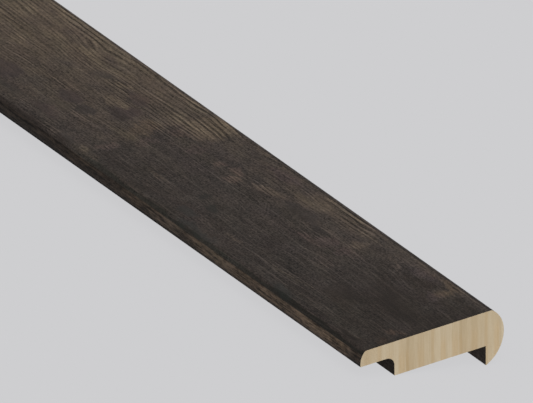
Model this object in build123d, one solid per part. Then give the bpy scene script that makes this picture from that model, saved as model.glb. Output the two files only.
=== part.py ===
from build123d import *
import os
from math import atan2, degrees

# Overlapping stair nosing, moulded from one length of wood. The section is drawn as the piece is
# fitted, with its top face level. The piece then lies as it comes to rest on a floor: tipped back
# about its length, on the tip of its nose and the rear corner of its body.

# Driving dimensions, in millimetres
LENGTH = 1981.2          # sold length
WIDTH = 69.85            # from the edge of the lip to the front of the nose
BODY_THICKNESS = 15.6    # from the top face to the underside that sits on the tread
LIP_OVERHANG = 16.6      # how far the lip laps over the finished floor
LIP_THICKNESS = 6.8
LIP_LAND = 1.2           # plumb strip at the foot of the lip's edge
LIP_LEAN = 2.4           # how far the lip's rounded edge leans back up to the top face
LIP_EASE_RADIUS = 2.0    # blend from the lip's rounded edge into the top face
COVE_RADIUS = 4.0        # inside corner under the lip
NOSE_THICKNESS = 8.8     # from the face that covers the riser to the front of the nose
NOSE_DROP = 8.9          # how far the tip of the nose hangs below the body's underside
NOSE_ROUND_DEPTH = 5.8   # from where the top face turns over to the front of the nose
NOSE_FRONT_DROP = 10.7   # from the top face down to the foremost line of the nose
NOSE_EASE_RADIUS = 2.0   # blend from the top face into the rounded front of the nose

# Places in the section: X runs from the lip towards the nose, Y up from the top face
TREAD_LEVEL = -BODY_THICKNESS
FLOOR_LEVEL = -LIP_THICKNESS
RISER_LINE = WIDTH - NOSE_THICKNESS
TURN_LINE = WIDTH - NOSE_ROUND_DEPTH

# The body's underside and the drop of the nose set the angle at which the piece lies
REST_ANGLE = degrees(atan2(NOSE_DROP, RISER_LINE - LIP_OVERHANG))


def moulded_section():
    """The closed outline: rounded lip, coved rabbet, flat seat, and a nose rounded by two arcs."""
    lip_foot = (0, FLOOR_LEVEL)
    lip_land_top = (0, FLOOR_LEVEL + LIP_LAND)
    lip_shoulder = (LIP_LEAN, 0)
    nose_shoulder = (TURN_LINE, 0)
    nose_front = (WIDTH, -NOSE_FRONT_DROP)
    nose_tip = (RISER_LINE, TREAD_LEVEL - NOSE_DROP)
    rabbet_corner = (LIP_OVERHANG, FLOOR_LEVEL)
    with BuildSketch() as sketch:
        with BuildLine():
            Line(lip_shoulder, nose_shoulder)
            TangentArc(nose_front, nose_shoulder, tangent=(0, 1))
            TangentArc(nose_front, nose_tip, tangent=(0, -1))
            Polyline(
                nose_tip,
                (RISER_LINE, TREAD_LEVEL),
                (LIP_OVERHANG, TREAD_LEVEL),
                rabbet_corner,
                lip_foot,
                lip_land_top,
            )
            TangentArc(lip_land_top, lip_shoulder, tangent=(0, 1))
        make_face()
        fillet(sketch.vertices().sort_by_distance(rabbet_corner)[0], COVE_RADIUS)
        fillet(sketch.vertices().sort_by_distance(lip_shoulder)[0], LIP_EASE_RADIUS)
        fillet(sketch.vertices().sort_by_distance(nose_shoulder)[0], NOSE_EASE_RADIUS)
    return sketch.sketch


def lay_on_floor(piece):
    """Tips the fitted piece back to its rest angle and stands it on Z = 0, centred on the origin."""
    tipped = Rot(X=-REST_ANGLE) * piece
    box = tipped.bounding_box()
    return Pos(0, -box.center().Y, -box.min.Z) * tipped


# The section stands across the length with its nose towards -Y
end_plane = Plane(origin=(LENGTH / 2, 0, 0), x_dir=(0, -1, 0), z_dir=(-1, 0, 0))
stair_nosing = lay_on_floor(extrude(end_plane * moulded_section(), amount=LENGTH))

os.makedirs("parts", exist_ok=True)
export_step(stair_nosing, "parts/stair_nosing.step")
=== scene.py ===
import math

import bpy
import numpy as np
from mathutils import Matrix, Vector


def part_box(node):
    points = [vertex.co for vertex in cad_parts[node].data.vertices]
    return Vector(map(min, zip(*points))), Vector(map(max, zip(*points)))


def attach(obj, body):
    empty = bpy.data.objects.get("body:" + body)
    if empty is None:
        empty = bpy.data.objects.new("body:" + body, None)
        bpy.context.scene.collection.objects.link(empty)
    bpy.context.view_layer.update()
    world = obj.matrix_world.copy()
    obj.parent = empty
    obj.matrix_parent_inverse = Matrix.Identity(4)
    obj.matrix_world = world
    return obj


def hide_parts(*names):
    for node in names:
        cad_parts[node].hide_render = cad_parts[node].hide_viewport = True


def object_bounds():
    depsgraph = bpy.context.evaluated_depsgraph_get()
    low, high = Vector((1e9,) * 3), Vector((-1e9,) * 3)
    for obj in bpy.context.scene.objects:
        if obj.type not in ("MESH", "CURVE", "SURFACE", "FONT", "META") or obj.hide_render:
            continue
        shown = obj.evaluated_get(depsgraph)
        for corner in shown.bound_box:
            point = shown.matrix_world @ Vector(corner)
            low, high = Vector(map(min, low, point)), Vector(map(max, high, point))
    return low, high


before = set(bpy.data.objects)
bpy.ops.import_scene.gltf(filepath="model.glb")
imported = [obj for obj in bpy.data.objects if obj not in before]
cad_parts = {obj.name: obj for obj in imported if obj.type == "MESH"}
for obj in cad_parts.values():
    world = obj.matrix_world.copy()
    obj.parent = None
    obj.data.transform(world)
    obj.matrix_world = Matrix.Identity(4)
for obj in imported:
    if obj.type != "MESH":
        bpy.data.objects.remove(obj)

# A dark-stained overlapping stair nosing with bare sawn ends, lying on a pale floor.

cad_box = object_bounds()
NODE = "stair_nosing"
MM = 0.001
node_low, node_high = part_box(NODE)
LENGTH = (node_high.x - node_low.x) / MM

# The section, in millimetres: across from the edge of the lip, and up from the top face
WIDTH = 69.85
BODY_THICKNESS = 15.6
LIP_OVERHANG = 16.6
LIP_THICKNESS = 6.8
LIP_LAND = 1.2
LIP_LEAN = 2.4
LIP_EASE_RADIUS = 2.0
COVE_RADIUS = 4.0
NOSE_THICKNESS = 8.8
NOSE_DROP = 8.9
NOSE_ROUND_DEPTH = 5.8
NOSE_FRONT_DROP = 10.7
NOSE_EASE_RADIUS = 2.0
ARRIS_RADIUS = 0.12
TREAD_LEVEL = -BODY_THICKNESS
FLOOR_LEVEL = -LIP_THICKNESS
RISER_LINE = WIDTH - NOSE_THICKNESS
TIP_LEVEL = TREAD_LEVEL - NOSE_DROP

# The mesh's fineness, in millimetres on flats and in degrees on curves
FLAT_STEP = 2.0
CURVE_STEP = 4.0
ARRIS_STEP = 12.0
LENGTH_STEP = 60.0
LEAST_ARC_STEPS = 3
SHARP_FROM = 35.0

# The flat layout of the faces for baking, as shares of its map
LAYOUT_BAND = 0.82
LAYOUT_ENDS = 0.85
LAYOUT_ENDS_FILL = 0.9
LAYOUT_MIDDLE = 0.5
LAYOUT_MARGIN = 0.01


def flat(start, end):
    """Points of a straight stretch, without its end."""
    count = max(1, round(math.dist(start, end) / FLAT_STEP))
    return [tuple(np.add(start, np.subtract(end, start) * i / count)) for i in range(count)]


def curve(centre, radius, start_angle, end_angle):
    """Points of an arc, without its end."""
    count = max(LEAST_ARC_STEPS, round(abs(end_angle - start_angle) / CURVE_STEP))
    angles = np.radians(np.linspace(start_angle, end_angle, count, endpoint=False))
    return [(centre[0] + radius * math.cos(a), centre[1] + radius * math.sin(a)) for a in angles]


def rounded_corner(before, corner, after, radius):
    """Points of the arc that rounds a corner, both ends included."""
    corner = np.array(corner)
    ways = [np.subtract(p, corner) / math.dist(p, corner) for p in (before, after)]
    half = math.acos(np.clip(np.dot(*ways), -1, 1)) / 2
    middle = (ways[0] + ways[1]) / np.linalg.norm(ways[0] + ways[1])
    centre = corner + middle * radius / math.sin(half)
    touches = [corner + way * radius / math.tan(half) for way in ways]
    turn = math.pi - 2 * half
    spokes = [(touch - centre) / radius for touch in touches]
    count = max(LEAST_ARC_STEPS, round(math.degrees(turn) / ARRIS_STEP))
    weights = [(math.sin(turn * (1 - i / count)), math.sin(turn * i / count)) for i in range(count + 1)]
    return [tuple(centre + radius * (a * spokes[0] + b * spokes[1]) / math.sin(turn)) for a, b in weights]


def tangent_radius(run, rise):
    """Radius of the arc that leaves a plumb line and reaches a point so far aside and so far along."""
    return (run**2 + rise**2) / (2 * run)


def eased_turn(run, rise, ease):
    """Points from a plumb face up a tangent arc and over an eased shoulder: in from the face, and up."""
    radius = tangent_radius(run, rise)
    reach = math.sqrt((radius - ease) ** 2 - (rise - ease) ** 2)
    meet = math.degrees(math.atan2(rise - ease, -reach))
    arc = curve((radius, 0), radius, 180, meet)
    return arc + curve((radius - reach, rise - ease), ease, meet, 90) + [(radius - reach, rise)]


def section_outline():
    """The moulding's closed outline, clockwise from the inner corner behind the nose."""
    lip_rise = LIP_THICKNESS - LIP_LAND
    lip_edge = [(x, y - lip_rise) for x, y in eased_turn(LIP_LEAN, lip_rise, LIP_EASE_RADIUS)]
    nose_turn = eased_turn(NOSE_ROUND_DEPTH, NOSE_FRONT_DROP, NOSE_EASE_RADIUS)
    nose_upper = [(WIDTH - x, y - NOSE_FRONT_DROP) for x, y in reversed(nose_turn)]
    nose_fall = -NOSE_FRONT_DROP - TIP_LEVEL
    nose_radius = tangent_radius(NOSE_THICKNESS, nose_fall)
    nose_sweep = math.degrees(math.asin(nose_fall / nose_radius))
    nose_lower = curve((WIDTH - nose_radius, -NOSE_FRONT_DROP), nose_radius, 0, -nose_sweep)

    inner_corner = (RISER_LINE, TREAD_LEVEL)
    heel_corner = (LIP_OVERHANG, TREAD_LEVEL)
    rabbet_corner = (LIP_OVERHANG, FLOOR_LEVEL)
    heel = rounded_corner(inner_corner, heel_corner, rabbet_corner, ARRIS_RADIUS)
    cove_centre = (LIP_OVERHANG - COVE_RADIUS, FLOOR_LEVEL - COVE_RADIUS)
    cove = curve(cove_centre, COVE_RADIUS, 0, 90)
    lip_foot = rounded_corner(rabbet_corner, (0, FLOOR_LEVEL), (0, 0), ARRIS_RADIUS)
    tip = rounded_corner(nose_lower[-1], (RISER_LINE, TIP_LEVEL), inner_corner, ARRIS_RADIUS)
    nose_lower = [p for p in nose_lower if p[1] > tip[0][1]]

    outline = flat(inner_corner, heel[0]) + heel[:-1]
    outline += flat(heel[-1], cove[0]) + cove
    outline += flat((cove_centre[0], FLOOR_LEVEL), lip_foot[0]) + lip_foot[:-1]
    outline += flat(lip_foot[-1], lip_edge[0]) + lip_edge[:-1]
    outline += flat(lip_edge[-1], nose_upper[0]) + nose_upper[:-1]
    outline += nose_lower + tip[:-1] + flat(tip[-1], inner_corner)
    return np.array(outline)


# How the stock lies: tipped about its length onto the tip of its nose and its rear corner
REST_ANGLE = math.atan2(NOSE_DROP, RISER_LINE - LIP_OVERHANG)
ALONG = Vector((1, 0, 0))
ACROSS = Vector((0, -math.cos(REST_ANGLE), math.sin(REST_ANGLE)))
ABOVE = Vector((0, math.sin(REST_ANGLE), math.cos(REST_ANGLE)))
OUTLINE = section_outline()


def stock_origin():
    """Where the near end, the lip's edge and the top face meet, in the frame."""
    sideways = OUTLINE @ np.array([ACROSS.y, ABOVE.y]) * MM
    middle = (cad_box[0].y + cad_box[1].y) / 2
    heel_height = (LIP_OVERHANG * ACROSS.z + TREAD_LEVEL * ABOVE.z) * MM
    return Vector((node_low.x, middle - (sideways.min() + sideways.max()) / 2, cad_box[0].z - heel_height))


ORIGIN = stock_origin()


def in_frame(along, across, above):
    """A point of the stock, given in millimetres, in the frame."""
    return ORIGIN + (ALONG * along + ACROSS * across + ABOVE * above) * MM


# Shapes


def nosing_mesh():
    """The outline swept along the stock, with both ends closed and a layout for baking."""
    count = len(OUTLINE)
    stations = np.linspace(0, LENGTH, round(LENGTH / LENGTH_STEP) + 1)
    points = np.clip([in_frame(s, *p) for s in stations for p in OUTLINE], node_low, node_high)
    faces = []
    for i in range(len(stations) - 1):
        for j in range(count):
            k = (j + 1) % count
            faces.append((i * count + j, i * count + k, (i + 1) * count + k, (i + 1) * count + j))
    near_end = tuple(range(count - 1, -1, -1))
    far_end = tuple(range((len(stations) - 1) * count, len(stations) * count))
    mesh = bpy.data.meshes.new("nosing")
    mesh.from_pydata(points, [], faces + [near_end, far_end])
    mesh.polygons.foreach_set("material_index", [0] * len(faces) + [1, 1])
    mesh.polygons.foreach_set("use_smooth", [True] * len(faces) + [False, False])
    mesh.update()
    mesh.set_sharp_from_angle(angle=math.radians(SHARP_FROM))
    lay_out_for_baking(mesh, stations, count)
    return mesh


def lay_out_for_baking(mesh, stations, count):
    """Long faces as one band the length of the map, ends side by side above it."""
    steps = np.linalg.norm(np.diff(np.vstack([OUTLINE, OUTLINE[:1]]), axis=0), axis=1)
    girth = np.concatenate([[0], np.cumsum(steps)]) / steps.sum()
    layer = mesh.uv_layers.new(name="OFBake")
    places = []
    for i in range(len(stations) - 1):
        for j in range(count):
            left, right = stations[i] / LENGTH, stations[i + 1] / LENGTH
            low, high = girth[j] * LAYOUT_BAND, girth[j + 1] * LAYOUT_BAND
            places += [(left, low), (left, high), (right, high), (right, low)]
    scale = (1 - LAYOUT_ENDS) / (-OUTLINE[:, 1].min()) * LAYOUT_ENDS_FILL
    near_order = range(count - 1, -1, -1)
    for start, order in ((0, near_order), (LAYOUT_MIDDLE, range(count))):
        for j in order:
            across, above = OUTLINE[j]
            places.append((start + LAYOUT_MARGIN + across * scale, 1 - LAYOUT_MARGIN + above * scale))
    layer.data.foreach_set("uv", np.array(places, np.float32).ravel())


# Materials


def srgb(red, green, blue):
    """A colour as seen on screen, 0 to 255, as the linear colour that a shader takes."""
    values = (c / 255 for c in (red, green, blue))
    return tuple(c / 12.92 if c <= 0.04045 else ((c + 0.055) / 1.055) ** 2.4 for c in values)


class Field:
    """A number, vector or colour that varies over a surface. Its arithmetic adds nodes to the material."""

    def __init__(self, nodes, socket):
        self.nodes = nodes
        self.socket = socket

    def __add__(self, other):
        return self.nodes.combine("ADD", self, other)

    def __sub__(self, other):
        return self.nodes.combine("SUBTRACT", self, other)

    def __rsub__(self, other):
        return self.nodes.combine("SUBTRACT", other, self)

    def __mul__(self, other):
        return self.nodes.combine("MULTIPLY", self, other)

    def __truediv__(self, other):
        return self.nodes.combine("DIVIDE", self, other)

    __radd__ = __add__
    __rmul__ = __mul__


def is_vector(value):
    """Whether a value has three parts."""
    if isinstance(value, Field):
        return value.socket.type in ("VECTOR", "RGBA")
    return isinstance(value, (tuple, Vector))


# Patterns of noise in the wood: the size of their grains in millimetres along, across and through the
# stock, levels of detail, roughness, and seed
PATTERNS = {
    "slow_waver": ((130, 34, 34), 1, 0.5, 1),
    "quick_waver": ((22, 7, 7), 2, 0.5, 2),
    "threads": ((36, 0.75, 0.75), 2, 0.6, 3),
    "fibres": ((9, 0.5, 0.5), 2, 0.6, 4),
    "mottle": ((1.05, 0.8, 0.8), 2, 0.6, 5),
    "bold_patches": ((30, 10, 10), 2, 0.5, 6),
    "clouds": ((13, 7, 7), 4, 0.6, 7),
    "broad_patches": ((200, 45, 45), 1, 0.5, 8),
    "fingers": ((60, 1.5, 1.5), 1, 0.5, 9),
    "rough_rims": ((12, 7, 7), 3, 0.5, 10),
    "casts": ((20, 8, 8), 2, 0.5, 11),
    "ragged_line": ((16, 30, 30), 1, 0.5, 12),
    "lap_patches": ((150, 26, 26), 1, 0.5, 13),
    "purple_patches": ((15, 12, 12), 3, 0.6, 14),
    "crowding": ((150, 9, 9), 1, 0.5, 15),
    "uneven_rings": ((75, 2.5, 2.5), 1, 0.5, 16),
    "strip_streaks": ((16, 0.9, 0.9), 2, 0.65, 17),
    "strip_flecks": ((3.0, 0.9, 0.9), 2, 0.6, 18),
    "end_sway": ((40, 8, 10), 1, 0.5, 21),
    "end_streaks": ((40, 1.4, 22), 2, 0.5, 22),
    "end_fine": ((40, 0.6, 8), 2, 0.5, 23),
}
SEED_STEP = 171.0
SPOT_DEPTH = 30.0


class Nodes:
    """The nodes of one material, each linked as it is made."""

    def __init__(self, name):
        self.material = bpy.data.materials.new(name)
        self.material.use_nodes = True
        self.tree = self.material.node_tree
        self.shader = self.tree.nodes["Principled BSDF"]

    def feed(self, value, socket):
        """Links a field to a socket, or sets the socket to a number or to three."""
        if isinstance(value, Field):
            self.tree.links.new(value.socket, socket)
        elif socket.type == "RGBA":
            socket.default_value = (*value, 1.0)
        elif socket.type == "VECTOR" and not is_vector(value):
            socket.default_value = (value,) * 3
        else:
            socket.default_value = value

    def feed_named(self, node, values):
        """Feeds the inputs of a node that have these names."""
        for name, value in values.items():
            self.feed(value, node.inputs[name])

    def node(self, kind, *values, **settings):
        """Adds a node with these values at its first inputs."""
        node = self.tree.nodes.new("ShaderNode" + kind)
        for name, setting in settings.items():
            setattr(node, name, setting)
        for socket, value in zip(node.inputs, values):
            self.feed(value, socket)
        return node

    def field(self, kind, *values, output=0, **settings):
        """Adds a node and gives what comes out of it."""
        return Field(self, self.node(kind, *values, **settings).outputs[output])

    def combine(self, operation, *values):
        """Arithmetic on numbers, or on vectors where one of the values is a vector."""
        kind = "VectorMath" if any(is_vector(value) for value in values) else "Math"
        return self.field(kind, *values, operation=operation)

    def larger(self, a, b):
        return self.combine("MAXIMUM", a, b)

    def length(self, vector):
        return self.field("VectorMath", vector, operation="LENGTH", output="Value")

    def dot(self, a, b):
        return self.field("VectorMath", a, b, operation="DOT_PRODUCT", output="Value")

    def vector(self, x, y, z):
        return self.field("CombineXYZ", x, y, z)

    def noise(self, pattern, place, output="Fac"):
        """A pattern of noise from -1 to 1, or three of them as a vector where the output is Color."""
        size, detail, roughness, seed = PATTERNS[pattern]
        node = self.node("TexNoise", (place + seed * SEED_STEP) / size)
        self.feed_named(node, {"Scale": 1.0, "Detail": detail, "Roughness": roughness})
        return 2.0 * (Field(self, node.outputs[output]) - 0.5)

    def smooth(self, value, start, end, low=0.0, high=1.0):
        """A soft step from low to high as the value goes from start to end."""
        return self.field("MapRange", value, start, end, low, high, interpolation_type="SMOOTHSTEP")

    def between(self, factor, a, b):
        """The first value where the factor is nothing, the second where it is one."""
        return factor * (b - a) + a

    def mix(self, factor, a, b, blend="MIX"):
        """The first colour where the factor is nothing, blended with the second where it is one."""
        node = self.node("Mix", data_type="RGBA", blend_type=blend)
        enabled = [socket for socket in node.inputs if socket.enabled]
        for socket, value in zip(enabled, (factor, a, b)):
            self.feed(value, socket)
        return Field(self, next(socket for socket in node.outputs if socket.enabled))

    def ramp(self, value, stops):
        """A colour that runs straight between the stops given as (where, colour)."""
        low, high = stops[0][0], stops[-1][0]
        node = self.node("ValToRGB", (value - low) / (high - low))
        elements = node.color_ramp.elements
        while len(elements) < len(stops):
            elements.new(0.5)
        for element, (where, colour) in zip(elements, stops):
            element.position = (where - low) / (high - low)
            element.color = (*colour, 1.0)
        return Field(self, node.outputs["Color"])

    def levels(self, value, stops):
        """A number that runs straight between the stops given as (where, level)."""
        low, high = stops[0][0], stops[-1][0]
        part = self.field("Math", value - low, high - low, operation="DIVIDE", use_clamp=True)
        node = self.node("FloatCurve", 1.0, part)
        line = node.mapping.curves[0]
        while len(line.points) < len(stops):
            line.points.new(0.5, 0.5)
        least = min(level for where, level in stops)
        most = max(level for where, level in stops)
        for point, (where, level) in zip(line.points, stops):
            point.location = ((where - low) / (high - low), (level - least) / (most - least))
            point.handle_type = "VECTOR"
        node.mapping.update()
        return Field(self, node.outputs[0]) * (most - least) + least

    def spot(self, place, centre, reach, softness=1.0):
        """One inside a blot round a centre, falling to nothing at its rim."""
        away = (place - (*centre, 0)) / (*reach, SPOT_DEPTH)
        return self.smooth(self.length(away), 1.0, 1.0 - softness)

    def stock_place(self):
        """Millimetres along, across and above the stock, as a vector and as its three parts."""
        here = self.field("TexCoord", output="Object") - ORIGIN
        parts = [self.dot(here, axis / MM) for axis in (ALONG, ACROSS, ABOVE)]
        return self.vector(*parts), parts

    def bump(self, height, depth, strength):
        """The slope of a fine relief, with its depth in millimetres."""
        node = self.node("Bump")
        self.feed_named(node, {"Strength": strength, "Distance": depth * MM, "Height": height})
        return Field(self, node.outputs["Normal"])

    def material_with(self, **inputs):
        """The material, with these inputs of its shader: base_color for Base Color, and so on."""
        names = {socket.name.lower().replace(" ", "_"): socket.name for socket in self.shader.inputs}
        self.feed_named(self.shader, {names[key]: value for key, value in inputs.items()})
        return self.material


# The finish sends back a little white light of its own, so that the wood under it is darker than it looks
GLOSS_VEIL = 0.0095
LEAST_LIGHT = 0.001


def seen(red, green, blue):
    """The colour of wood that looks like this colour, 0 to 255, through its finish."""
    return tuple(max(c - GLOSS_VEIL, LEAST_LIGHT) for c in srgb(red, green, blue))


# Tints that the stain takes, as shares of red, green and blue
PLAIN = (1.0, 1.0, 1.0)
TAN = (1.03, 0.99, 0.94)
RUST = (1.10, 0.96, 0.86)
ROSE = (0.985, 0.99, 1.04)
PINK = (1.02, 0.97, 1.06)
PURPLE = (1.03, 0.965, 1.0)
GREY = (0.985, 1.0, 1.015)
OLIVE = (0.99, 1.01, 0.97)
TEAL = (0.88, 1.0, 1.045)
INK = (0.87, 1.01, 0.99)
BROWN = (1.04, 0.96, 0.82)

# Marks in the stain, and one painted highlight on the nose's edge: millimetres from the near end and from
# the lip, half sizes, softness of the rim, change of tone in screen levels, and tint
MARKS = {
    "dark_cloud": ((30, 35), (32, 11), 0.9, -6, PLAIN),
    "dark_cloud_foot": ((44, 22), (14, 8), 0.9, -4, PLAIN),
    "tan_corner": ((7, 20), (5, 5), 0.6, 14, RUST),
    "red_corner": ((3, 12), (4, 3), 0.6, 4, RUST),
    "lip_lines": ((20, 9), (40, 6), 0.8, 3, OLIVE),
    "faint_line": ((64, 13), (26, 2.5), 0.8, 9, OLIVE),
    "tan_nose_spot": ((22, 56), (7, 6), 0.9, 18, TAN),
    "pink_nose_spot": ((22, 51), (5, 4), 0.6, 7, PINK),
    "pink_nose_streak": ((39, 58), (11, 4), 0.7, 1, PINK),
    "grey_spot": ((52, 52.5), (2.4, 2.2), 0.4, 13, ROSE),
    "tan_fleck": ((75, 51), (5, 4.5), 0.5, 13, GREY),
    "pink_fleck": ((75, 43), (5, 4), 0.5, 5, PINK),
    "ray_fleck": ((86, 41), (6, 5), 0.4, 4, PINK),
    "ray_fleck_tail": ((92, 37), (5, 2.5), 0.5, 10, PINK),
    "nose_band": ((98, 59), (31, 6), 0.4, 12, ROSE),
    "nose_band_foot": ((116, 53), (16, 4), 0.4, 9, GREY),
    "pink_nose_band": ((139, 59), (12, 5), 0.6, 1, PINK),
    "dark_line": ((108, 46), (20, 3.5), 0.6, -8, PLAIN),
    "long_streak": ((134.5, 45.5), (10, 3), 0.4, 16, ROSE),
    "swirl_core": ((150, 39.5), (5, 3.5), 0.4, 17, PINK),
    "pink_swirl": ((154, 45.5), (6, 3), 0.5, 15, PINK),
    "pink_swirl_end": ((162, 41), (3.5, 4), 0.5, 13, PINK),
    "teal_patch": ((138, 9), (7, 4), 0.4, -2, TEAL),
    "teal_fleck": ((145, 22), (4, 3), 0.5, -7, TEAL),
    "teal_dab": ((133, 19), (4, 2.5), 0.5, -5, TEAL),
    "teal_shoulder": ((62, 4), (9, 2.5), 0.5, -1, TEAL),
    "teal_lap": ((122, 3.5), (14, 2.5), 0.5, -1, TEAL),
    "pink_before_lap": ((179, 41), (5, 5), 0.5, 4, PINK),
    "purple_before_lap": ((194, 42), (6, 4), 0.4, 6, PURPLE),
    "pink_lap": ((196, 28), (4, 6), 0.5, 8, PINK),
    "olive_patch": ((191, 56), (13, 12), 0.4, 13, PLAIN),
    "grey_nose_spot": ((202, 61), (5, 3), 0.5, 6, ROSE),
    "tan_band": ((205, 34), (7, 9), 0.5, 7, TAN),
    "tan_stripe": ((207, 24), (8, 3), 0.5, 5, OLIVE),
    "tan_lip_spot": ((206, 5.5), (5, 3), 0.6, 14, GREY),
    "purple_blob": ((226, 45), (9, 4), 0.4, -6, PURPLE),
    "purple_band": ((220, 35), (6, 8), 0.4, -10, PURPLE),
    "small_tan": ((230, 36), (8, 5), 0.6, 12, PLAIN),
    "grey_fleck": ((231, 22.5), (6, 4.5), 0.4, -12, PLAIN),
    "far_dark": ((246, 24), (9, 5), 0.4, -9, PURPLE),
    "far_olive": ((240, 17), (8, 3), 0.5, -4, OLIVE),
    "far_purple": ((243, 10), (12, 4), 0.5, -3, PURPLE),
    "far_purple_end": ((279, 16), (11, 8), 0.5, -14, PURPLE),
    "far_grey": ((253, 46), (6, 5), 0.5, -10, PLAIN),
    "lip_shade": ((14, 5), (9, 2.5), 0.7, -13, PLAIN),
    # A painted highlight on the nose's edge where it starts to round over
    "painted_edge_highlight": ((181, 62), (11, 2.5), 0.6, 6, GREY),
    "tan_lip_lap": ((201, 13), (5, 5), 0.5, 12, PINK),
    "far_nose_start": ((207, 48), (9, 10), 0.6, 11, GREY),
    "dark_lip_spot": ((219, 4), (6, 4), 0.5, -8, PLAIN),
    "far_tan": ((268, 51), (12, 4), 0.5, 10, PLAIN),
    "far_tan_lip": ((295, 33), (8, 4.5), 0.7, 10, PLAIN),
    "faint_line_end": ((108, 12), (9, 3), 0.8, 12, PLAIN),
    "lip_lines_lap": ((172, 16.5), (11, 3.5), 0.8, 14, PLAIN),
    "lip_end_lap": ((195, 3.5), (6, 3), 0.7, 10, PLAIN),
    "far_tan_mid": ((241, 47), (6, 3.5), 0.6, 20, PLAIN),
    "tan_edge": ((27, 61), (11, 3.5), 0.7, 14, TAN),
    "tan_edge_lap": ((208, 60.5), (8, 4), 0.7, 10, GREY),
    "far_olive_lip": ((264, 9), (10, 4), 0.6, -7, OLIVE),
}

# Below, places are millimetres: along from the near end, across from the lip, above from the top face.
# A pair is where, or at what tone or noise, something starts and is in full.

# How far the grain wavers sideways
SLOW_WAVER = 6.0
QUICK_WAVER = 1.3
CROWDING = 1.6

# Where the grain dips, with its depth, and where its rings spread, with their share: centre and reach first
NEAR_DIP = ((172, 55), (32, 16), 3.2)
FAR_DIP = ((269, 53), (24, 15), 2.6)
RING_SPREAD = ((193, 54), (34, 16), 0.3)

# The frayed rims of marks and laps, along and across, and longer fingers along the grain
FRAY = (6, 5, 0)
FINGERS = 4.0


def grain_course(nodes, place, across):
    """The place in wood whose grain runs straight: wavers, dips and a spread of the rings are taken out."""
    waver = SLOW_WAVER * nodes.noise("slow_waver", place)
    waver += QUICK_WAVER * nodes.noise("quick_waver", place)
    waver += CROWDING * nodes.noise("crowding", place)
    for centre, reach, depth in (NEAR_DIP, FAR_DIP):
        waver += depth * nodes.spot(place, centre, reach)
    centre, reach, share = RING_SPREAD
    waver += nodes.spot(place, centre, reach) * (share * (centre[1] - across))
    return place + nodes.vector(0.0, waver, 0.0)


def frayed_place(nodes, place, bent):
    """The place moved about a little, so that the rims of marks and laps are frayed along the grain."""
    fingers = FINGERS * nodes.noise("fingers", bent)
    return place + (nodes.noise("rough_rims", place, "Color") * FRAY + nodes.vector(fingers, 0.0, 0.0))


# The lap of the stain's second coat: where along it lies on the lip's side and on the nose's side, and
# where across it jogs from one to the other
LIP_SIDE_LAP = 200
NOSE_SIDE_LAP = 182
LAP_JOG = (43, 46)
LAP_RIM = (-3.0, 3.0)
PATCHES_ALONG = (330, 430)
PATCHES_RIM = (-0.06, 0.06)


def stain_lap(nodes, frayed, along, across):
    """One where a second coat of stain was wiped thin: past a lap, and in patches further on."""
    where = nodes.smooth(across, *LAP_JOG, LIP_SIDE_LAP, NOSE_SIDE_LAP)
    frayed_along = nodes.field("SeparateXYZ", frayed, output="X")
    lap = nodes.smooth(frayed_along - where, *LAP_RIM)
    patches = nodes.smooth(nodes.noise("lap_patches", frayed), *PATCHES_RIM)
    return nodes.between(nodes.smooth(along, *PATCHES_ALONG), lap, patches)


# The stain's tone in screen levels, as (where along, level), and what its sides and the lap add to it
BASE_TONE = [(0, 54), (30, 56), (70, 62), (190, 62), (240, 66), (290, 74), (320, 78), (420, 65)]
NOSE_SIDE_LIFT = [(62, 1), (92, 8), (200, 8), (220, 9), (255, 8), (295, 2), (420, 6)]
LIP_SIDE_LIFT = [(0, 2), (60, -2), (200, -3), (260, -8)]
LAP_LIFT = 8.0
NOSE_SIDE = (28, 62)
LIP_SIDE = (30, 0)

# Light wood by the nose at the near end, and a dark edge at the saw cut
NEAR_NOSE_ACROSS = (54, 60)
NEAR_NOSE_ALONG = (60, 42)
NEAR_NOSE_LIFT = 6.0
SAW_EDGE_ALONG = (3.5, 0.5)
SAW_EDGE_LIFT = -4.0

# A painted highlight where the top starts to round over, and a painted shade line where it turns down into
# the nose, as (where across, level)
NOSE_HIGHLIGHT_AND_SHADE_LINES = [(60.5, 0), (62, 5), (62.8, 5), (63.4, -9), (64.4, -9), (65.4, 0)]

# Clouds and broad patches, in screen levels. The broad ones are stronger past what the photograph shows.
CLOUDS = 12.0
NOSE_SIDE_CLOUDS = 10.0
LAP_CLOUDS = 5.0
BROAD_PATCHES = 3.0
UNSEEN_BROAD_PATCHES = 11.0
UNSEEN_ALONG = (300, 420)

# Purple patches there, everywhere but by the nose
PURPLE_RIM = (0.06, 0.14)
PURPLE_ACROSS = (58, 46)
PURPLE_LIFT = -5.0


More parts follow.
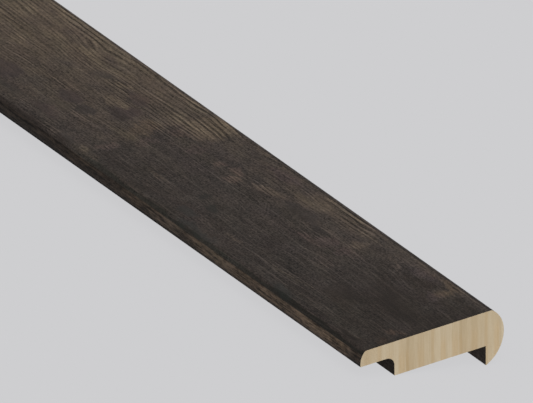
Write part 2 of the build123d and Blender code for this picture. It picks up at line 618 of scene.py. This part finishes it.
def stain_tone(nodes, place, frayed, along, across, lapped, nose_side):
    """The stain's tone in screen levels, with a painted highlight and painted shade at the nose's edge, its
    tint, its clouds, and one where its coat is thick.
    """
    unseen = nodes.smooth(along, *UNSEEN_ALONG)
    clouds = nodes.noise("clouds", place)
    tone = nodes.levels(along, BASE_TONE)
    tone += LAP_LIFT * lapped
    tone += nose_side * nodes.levels(along, NOSE_SIDE_LIFT)
    near_nose = nodes.smooth(across, *NEAR_NOSE_ACROSS) * nodes.smooth(along, *NEAR_NOSE_ALONG)
    tone += NEAR_NOSE_LIFT * near_nose
    tone += nodes.smooth(across, *LIP_SIDE) * nodes.levels(along, LIP_SIDE_LIFT)
    tone += clouds * (CLOUDS + NOSE_SIDE_CLOUDS * nose_side + LAP_CLOUDS * lapped)
    tone += nodes.noise("broad_patches", place) * (BROAD_PATCHES + UNSEEN_BROAD_PATCHES * unseen)
    # Painted highlight where the top starts to round over, and painted shade where it turns down into the
    # nose
    tone += nodes.levels(across, NOSE_HIGHLIGHT_AND_SHADE_LINES)
    tone += SAW_EDGE_LIFT * nodes.smooth(along, *SAW_EDGE_ALONG)

    purple = nodes.smooth(nodes.noise("purple_patches", place), *PURPLE_RIM)
    purple *= unseen * nodes.smooth(across, *PURPLE_ACROSS)
    tone += PURPLE_LIFT * purple
    tint = nodes.mix(purple, PLAIN, PURPLE)
    thick = purple
    for centre, reach, softness, lift, cast in MARKS.values():
        spot = nodes.spot(frayed, centre, reach, softness)
        tone += lift * spot
        tint = nodes.mix(spot, tint, cast, "MULTIPLY")
        if lift < 0:
            thick = nodes.larger(thick, spot)
    return tone, tint, clouds, thick


# The lip's edge, measured up from its foot and on over the top: a worn strip and a dark line over it, with
# their tones in screen levels as (where along, level)
STRIP_TONE = [(0, 49), (5, 54), (11, 74), (30, 74), (70, 71), (110, 67), (180, 52), (250, 43), (420, 52)]
STRIP_RIM = (6.2, 5.6)
STRIP_CLOUDS = 12.0
STRIP_FOOT = (1.5, 0.5)
STRIP_FOOT_LIFT = -22.0
STRIP_FADE_ALONG = (300, 150)
FADED_BROWN = 0.4
LINE_TONE = [(0, 45), (40, 46), (70, 50), (97, 58), (133, 50), (165, 54), (200, 53)]
LINE_RIM = (8.7, 7.9)
LINE_RAGGEDNESS = 3.0
LINE_FADE_ALONG = (215, 180)

# Further on the top's edge darkens towards the lip instead
FAR_EDGE_TONE = 44.0
FAR_EDGE_ALONG = (205, 250)
FAR_EDGE_ACROSS = (3.5, 0.0)
FAR_EDGE_RIM = (5.0, 6.5)


def lip_edge(nodes, tone, tint, clouds, place, along, across, above):
    """Adds the lip's edge: a worn brown strip under a dark line, both fading further on."""
    height = above + LIP_THICKNESS + across
    strip = nodes.smooth(height, *STRIP_RIM)
    worn = nodes.levels(along, STRIP_TONE) + STRIP_CLOUDS * clouds
    worn += STRIP_FOOT_LIFT * nodes.smooth(height, *STRIP_FOOT)
    tone = nodes.between(strip, tone, worn)
    browned = strip * nodes.smooth(along, *STRIP_FADE_ALONG, FADED_BROWN, 1.0)
    tint = nodes.mix(browned, tint, BROWN, "MULTIPLY")

    ragged = height + LINE_RAGGEDNESS * nodes.noise("ragged_line", place)
    line = (1.0 - strip) * nodes.smooth(ragged, *LINE_RIM) * nodes.smooth(along, *LINE_FADE_ALONG)
    tone = nodes.between(line, tone, nodes.levels(along, LINE_TONE))
    tint = nodes.mix(line, tint, INK, "MULTIPLY")

    far_edge = nodes.smooth(along, *FAR_EDGE_ALONG) * nodes.smooth(across, *FAR_EDGE_ACROSS)
    far_edge *= nodes.smooth(height, *FAR_EDGE_RIM)
    return nodes.between(far_edge, tone, FAR_EDGE_TONE), tint, strip


# Yearly rings round the pith, which lies outside the stock: a dark part and a light rest in screen levels
PITH = (0, 95, -45)
SECTION_ONLY = (0, 1, 1)
RING_SPACING = 1.41
RING_UNEVENNESS = 1.3
RING_RIM = (-0.5, 1.1)
RING_LIGHT = 5.8
RING_DARK = 12.0

# How much the rings show: where the stain is thin, on the nose's side, and further along
THIN_STAIN = (60, 88)
THICK_STAIN_RINGS = 0.1
LIP_SIDE_RINGS = 0.65
NOSE_SIDE_RINGS = 0.5
NEAR_RINGS = 0.8
FULL_RINGS_ALONG = (140, 190)

# Light threads between dark ones in screen levels, and how much they show, as (where along, share), on the
# lip's side, with what the nose's side adds to that
THREAD_RIM = (-0.05, 0.5)
THREAD_LIGHT = 14.0
THREAD_DARK = 4.0
LIP_SIDE_THREADS = [(0, 1.65), (90, 1.4), (110, 1.0), (190, 1.0), (210, 1.3)]
NOSE_SIDE_THREADS = [(0, -0.9), (70, -0.8), (100, 0.5), (190, 0.5), (210, -0.1)]

# Other fine detail in screen levels
FIBRES = 10.5
MOTTLE = 29.0
MOTTLE_IN_THIN_STAIN = -9.0
STRIP_STREAKS = 44.0
STRIP_FLECKS = 34.0

# Rings and threads are bolder in patches, and all of the grain is fainter where the stain is dark or thick
BOLDNESS = 1.6
LEAST_BOLDNESS = 0.3
FULL_GRAIN_TONE = (46, 64)
DARK_TONE_GRAIN = 0.55
THICK_STAIN_COVER = 0.5


def fine_grain(nodes, place, bent, tone, thick, strip, along, nose_side):
    """Rings, threads, fibres and mottle as one change in screen levels, then threads and fibres alone."""
    thin = nodes.smooth(tone, *THIN_STAIN)
    bold = nodes.larger(1.0 + BOLDNESS * nodes.noise("bold_patches", place), LEAST_BOLDNESS)

    from_pith = nodes.length((bent - PITH) * SECTION_ONLY)
    rings = nodes.combine("SINE", from_pith * (2 * math.pi / RING_SPACING))
    rings += RING_UNEVENNESS * nodes.noise("uneven_rings", bent)
    ring_strength = (THICK_STAIN_RINGS + thin) * bold * (LIP_SIDE_RINGS + NOSE_SIDE_RINGS * nose_side)
    ring_strength *= nodes.smooth(along, *FULL_RINGS_ALONG, NEAR_RINGS, 1.0)
    grain = (RING_LIGHT - RING_DARK * nodes.smooth(rings, *RING_RIM)) * ring_strength

    threads = nodes.noise("threads", bent)
    thread_strength = nodes.levels(along, LIP_SIDE_THREADS)
    thread_strength += nose_side * nodes.levels(along, NOSE_SIDE_THREADS)
    grain += (THREAD_LIGHT * nodes.smooth(threads, *THREAD_RIM) - THREAD_DARK) * (thread_strength * bold)

    fibres = nodes.noise("fibres", bent)
    grain += FIBRES * fibres
    grain += nodes.noise("mottle", place) * (MOTTLE + MOTTLE_IN_THIN_STAIN * thin)
    grain *= nodes.smooth(tone, *FULL_GRAIN_TONE, DARK_TONE_GRAIN, 1.0) * (1.0 - THICK_STAIN_COVER * thick)

    strip_grain = STRIP_STREAKS * nodes.noise("strip_streaks", place)
    strip_grain += STRIP_FLECKS * nodes.noise("strip_flecks", place)
    return nodes.between(strip, grain, strip_grain), threads, fibres


# The stain's colour at each tone, slight casts of red, green and blue, and the share of light that a screen
# level of grain adds or takes
STAIN_COLOURS = [
    (20.0, seen(22, 20, 18)),
    (45.3, seen(45, 41, 38.5)),
    (55.2, seen(55, 49.7, 46.4)),
    (61.8, seen(62, 56.7, 53.4)),
    (69.5, seen(70, 63, 58)),
    (80.5, seen(80, 71, 63)),
    (90.4, seen(90, 80, 69)),
    (130.0, seen(130, 115, 97)),
]
CASTS = (0.05, 0.04, 0.08)
GRAIN_SHADE = 0.045
DARKEST_GRAIN = 0.25

# The satin finish, and the hidden faces under the lip and behind the nose, which get painted shade and are
# dull
SATIN_ROUGHNESS = 0.56
FIBRE_ROUGHNESS = 0.1
SATIN_GLOSS = 0.1
HIDDEN_ABOVE = (FLOOR_LEVEL + 0.3, FLOOR_LEVEL - 0.1)
HIDDEN_ACROSS = (RISER_LINE + 0.55, RISER_LINE + 0.15)
HIDDEN_PAINTED_SHADE = 0.15
HIDDEN_ROUGHNESS = 0.9

# The relief of fibres and threads that shows through the finish
RELIEF_THREADS = 0.6
RELIEF_DEPTH = 0.06
RELIEF_STRENGTH = 0.5


def stained_wood():
    """Wood stained nearly black, with grain and cloudy patches showing through."""
    nodes = Nodes("stained_wood")
    place, (along, across, above) = nodes.stock_place()
    nose_side = nodes.smooth(across, *NOSE_SIDE)
    bent = grain_course(nodes, place, across)
    frayed = frayed_place(nodes, place, bent)
    lapped = stain_lap(nodes, frayed, along, across)
    tone, tint, clouds, thick = stain_tone(nodes, place, frayed, along, across, lapped, nose_side)
    tone, tint, strip = lip_edge(nodes, tone, tint, clouds, place, along, across, above)
    grain, threads, fibres = fine_grain(nodes, place, bent, tone, thick, strip, along, nose_side)

    colour = nodes.ramp(tone, STAIN_COLOURS) * tint
    colour *= nodes.noise("casts", place, "Color") * CASTS + (1, 1, 1)
    hidden = nodes.smooth(above, *HIDDEN_ABOVE) * nodes.smooth(across, *HIDDEN_ACROSS)
    # Painted shade: the hidden faces under the lip and behind the nose are darkened, besides the grain's own
    # light and dark
    shade = nodes.larger(1.0 + GRAIN_SHADE * grain, DARKEST_GRAIN) * (1.0 - HIDDEN_PAINTED_SHADE * hidden)
    return nodes.material_with(
        base_color=colour * shade,
        roughness=nodes.between(hidden, SATIN_ROUGHNESS + FIBRE_ROUGHNESS * fibres, HIDDEN_ROUGHNESS),
        specular_ior_level=SATIN_GLOSS,
        normal=nodes.bump(fibres + RELIEF_THREADS * threads, RELIEF_DEPTH, RELIEF_STRENGTH),
    )


# The bare ends get this share of the full light, and send back a little white light of their own
END_LIGHT = 0.857
END_VEIL = 0.017


def bare_seen(red, green, blue):
    """The colour of bare wood that looks like this colour, 0 to 255, on an end of the stock."""
    return tuple((c - END_VEIL) / END_LIGHT for c in srgb(red, green, blue))


# Streaks through the thickness of the bare wood, which come round again across it: place in the round and
# half width in millimetres, change of tone in screen levels, and share of honey colour at the top and foot
STREAK_ROUND = 26.0
ROUND_START = 1.0
HONEY = (1.0, 0.95, 0.88)
STREAKS = {
    "honey_band": (2.5, 2.2, -4.2, 0.15, 0.85),
    "honey_line": (8.2, 1.1, -2.5, 0.6, 0.7),
    "pale_band": (10.8, 1.9, 3.8, 0.0, 0.1),
    "honey_foot": (13.3, 1.7, 1.0, 0.0, 1.1),
    "pale_line": (16.5, 1.5, 5.0, 0.0, 0.0),
    "wide_foot": (19.3, 2.1, -0.5, 0.1, 0.9),
    "dark_line": (21.9, 1.0, -6.5, 0.1, 1.0),
    "dark_shade": (23.4, 2.4, -5.5, 0.0, 0.35),
}

# Finer streaks in screen levels, how far all of them sway in millimetres, and the full part of a streak
END_STREAKS = 4.0
END_FINE = 7.0
END_SWAY = 0.4
STREAK_CORE = 0.4

# The foot of the end, where honey colour gathers, and its change of tone
END_FOOT = (-2.0, -11.0)
END_FOOT_LIFT = 1.0

# The bare wood's colour at each tone, and its sawn surface
END_COLOURS = [
    (-16, bare_seen(166, 148, 119)),
    (0, bare_seen(182, 165, 137)),
    (16, bare_seen(198, 185, 161)),
]
END_ROUGHNESS = 0.75
END_GLOSS = 0.2
END_RELIEF_DEPTH = 0.05
END_RELIEF_STRENGTH = 0.4


def bare_wood():
    """A sawn end: pale bare wood with streaks through its thickness, some honey-coloured at the foot."""
    nodes = Nodes("bare_end_wood")
    place, parts = nodes.stock_place()
    across, above = parts[1:]
    streaks = nodes.noise("end_streaks", place)
    fine = nodes.noise("end_fine", place)
    foot = nodes.smooth(above, *END_FOOT)
    swayed = across - ROUND_START + END_SWAY * nodes.noise("end_sway", place)
    turn = nodes.combine("WRAP", swayed, STREAK_ROUND, 0.0)
    tone = END_STREAKS * streaks + END_FINE * fine + END_FOOT_LIFT * foot
    honey = 0.0
    for centre, reach, lift, at_top, at_foot in STREAKS.values():
        streak = nodes.smooth(nodes.combine("ABSOLUTE", turn - centre), reach, STREAK_CORE * reach)
        tone += lift * streak
        honey += streak * nodes.between(foot, at_top, at_foot)
    return nodes.material_with(
        base_color=nodes.ramp(tone, END_COLOURS) * nodes.mix(honey, PLAIN, HONEY),
        roughness=END_ROUGHNESS,
        specular_ior_level=END_GLOSS,
        normal=nodes.bump(fine + streaks, END_RELIEF_DEPTH, END_RELIEF_STRENGTH),
    )


# The floor's colour on screen, and the share of it that is its own light
FLOOR_COLOUR = srgb(206, 206, 208)
FLOOR_GLOW = 0.95


def floor_material():
    """Plain pale floor, lit mostly from within, so that only a faint shadow falls on it."""
    return Nodes("pale_floor").material_with(
        base_color=tuple(c * (1 - FLOOR_GLOW) for c in FLOOR_COLOUR),
        emission_color=FLOOR_COLOUR,
        emission_strength=FLOOR_GLOW,
        roughness=1.0,
        specular_ior_level=0.0,
    )


# Pieces

nosing = bpy.data.objects.new("stained_nosing", nosing_mesh())
bpy.context.scene.collection.objects.link(nosing)
nosing.data.materials.append(stained_wood())
nosing.data.materials.append(bare_wood())
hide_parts(NODE)
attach(nosing, "root")

# Stage: a floor, with half its width in metres

FLOOR_HALF = 12.0
floor_mesh = bpy.data.meshes.new("floor")
corners = [(x * FLOOR_HALF, y * FLOOR_HALF, 0) for x, y in ((-1, -1), (1, -1), (1, 1), (-1, 1))]
floor_mesh.from_pydata(corners, [], [(0, 1, 2, 3)])
floor = bpy.data.objects.new("floor", floor_mesh)
floor.data.materials.append(floor_material())
bpy.context.scene.collection.objects.link(floor)

# Light: an even sky and one wide soft lamp above and behind the camera, as shares of the light on a floor

SKY = 0.45
LAMP = 0.55
LAMP_SPREAD = math.radians(70)
LAMP_FROM = Vector((-0.5, 0.35, 0.79)).normalized()
world = bpy.data.worlds.new("soft_sky")
world.use_nodes = True
world.node_tree.nodes["Background"].inputs["Color"].default_value = (1, 1, 1, 1)
world.node_tree.nodes["Background"].inputs["Strength"].default_value = SKY
bpy.context.scene.world = world
lamp_data = bpy.data.lights.new("soft_lamp", "SUN")
lamp_data.energy = LAMP * math.pi / LAMP_FROM.z
lamp_data.angle = LAMP_SPREAD
lamp = bpy.data.objects.new("soft_lamp", lamp_data)
lamp.rotation_mode = "QUATERNION"
lamp.rotation_quaternion = (-LAMP_FROM).to_track_quat("-Z", "Y")
bpy.context.scene.collection.objects.link(lamp)
bpy.context.scene.view_settings.view_transform = "Standard"

# Camera: the photograph is a parallel view, with the stock level and turned to it

PHOTO_WIDTH, PHOTO_HEIGHT = 533, 403
MM_PER_PIXEL = 0.40332
LIP_FOOT_PIXEL = (360.37, 367.36)
VIEW_ELEVATION = math.radians(28.518)
VIEW_TURN = math.radians(55.953)
CAMERA_DISTANCE = 2.5
CAMERA_SIGHT = 10.0


def photo_camera():
    """Sees the lip's near foot at its pixel, at the photograph's scale, with the stock level in the view."""
    right = -math.cos(VIEW_TURN) * ALONG + math.sin(VIEW_TURN) * ACROSS
    rise = math.sin(VIEW_TURN) * ALONG + math.cos(VIEW_TURN) * ACROSS
    up = math.sin(VIEW_ELEVATION) * rise + math.cos(VIEW_ELEVATION) * ABOVE
    back = right.cross(up)
    aside = (LIP_FOOT_PIXEL[0] - PHOTO_WIDTH / 2) * MM_PER_PIXEL * MM
    below = (LIP_FOOT_PIXEL[1] - PHOTO_HEIGHT / 2) * MM_PER_PIXEL * MM
    middle = in_frame(0, 0, FLOOR_LEVEL) - right * aside + up * below
    data = bpy.data.cameras.new("photo_camera")
    data.type = "ORTHO"
    data.ortho_scale = PHOTO_WIDTH * MM_PER_PIXEL * MM
    data.clip_end = CAMERA_SIGHT
    camera = bpy.data.objects.new("photo_camera", data)
    turn = Matrix((right, up, back)).transposed().to_4x4()
    camera.matrix_world = Matrix.Translation(middle + back * CAMERA_DISTANCE) @ turn
    bpy.context.scene.collection.objects.link(camera)
    bpy.context.scene.camera = camera


photo_camera()
